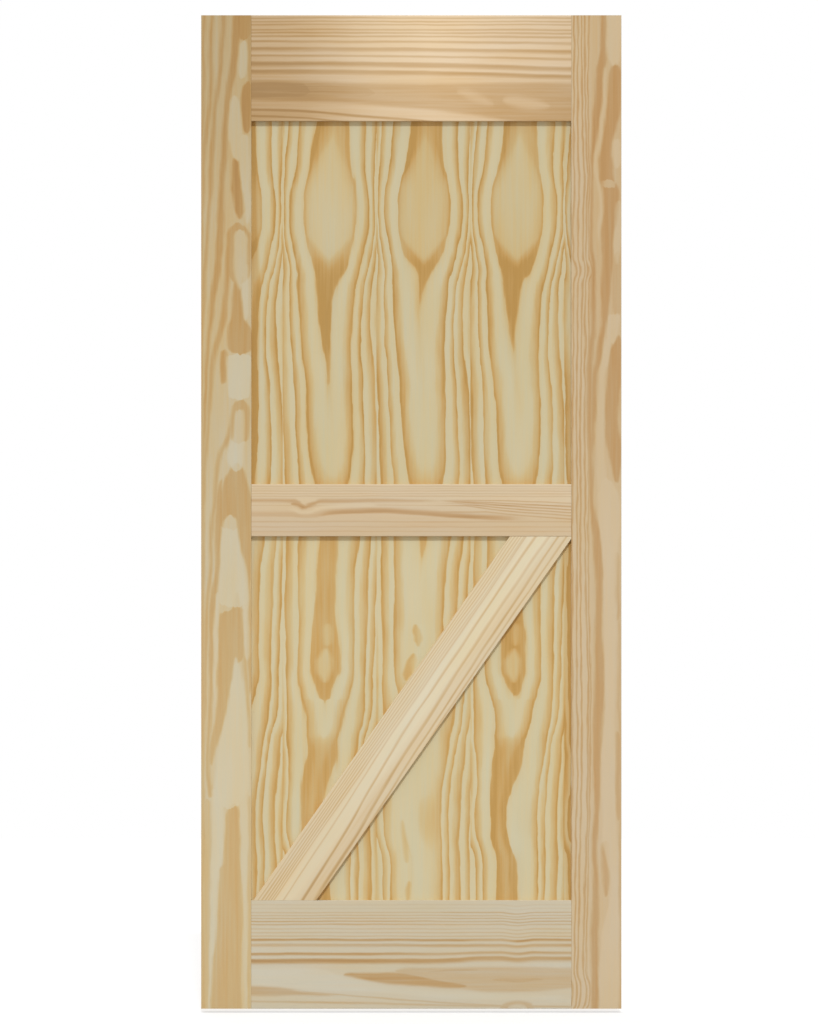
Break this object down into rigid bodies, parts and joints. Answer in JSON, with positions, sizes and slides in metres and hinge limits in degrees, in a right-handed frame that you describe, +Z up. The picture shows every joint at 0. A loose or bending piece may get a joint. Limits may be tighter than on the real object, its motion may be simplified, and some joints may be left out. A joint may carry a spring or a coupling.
{
  "type": "barn door leaf",
  "caption": "Flat pine barn door leaf with stiles, deep rails, a recessed panel, a mid rail and a diagonal brace, made to hang from an overhead track and close a doorway.",
  "frame": {"origin": "middle of the leaf's bottom edge", "axes": "+X across the leaf to the right as seen from the front, +Y from the front face to the back, +Z up"},
  "size_m": [0.838, 0.035, 1.981],
  "materials": {
    "stile_pine": "sanded, unfinished clear pine with upright grain",
    "rail_pine": "sanded, unfinished clear pine with level grain",
    "panel_veneer": "sanded, unfinished pine veneer in slip-matched leaves",
    "planted_pine": "sanded, unfinished pale pine with fine straight grain",
    "dowel_beech": "raw fluted hardwood"
  },
  "bodies": {
    "root": {"left_stile": "stile_pine", "right_stile": "stile_pine", "top_rail": "rail_pine", "bottom_rail": "rail_pine", "panel": "panel_veneer", "front_mid_rail": "planted_pine", "rear_mid_rail": "planted_pine", "front_brace": "planted_pine", "rear_brace": "planted_pine", "top_rail_dowels": "dowel_beech", "bottom_rail_dowels": "dowel_beech"}
  },
  "joints": []
}
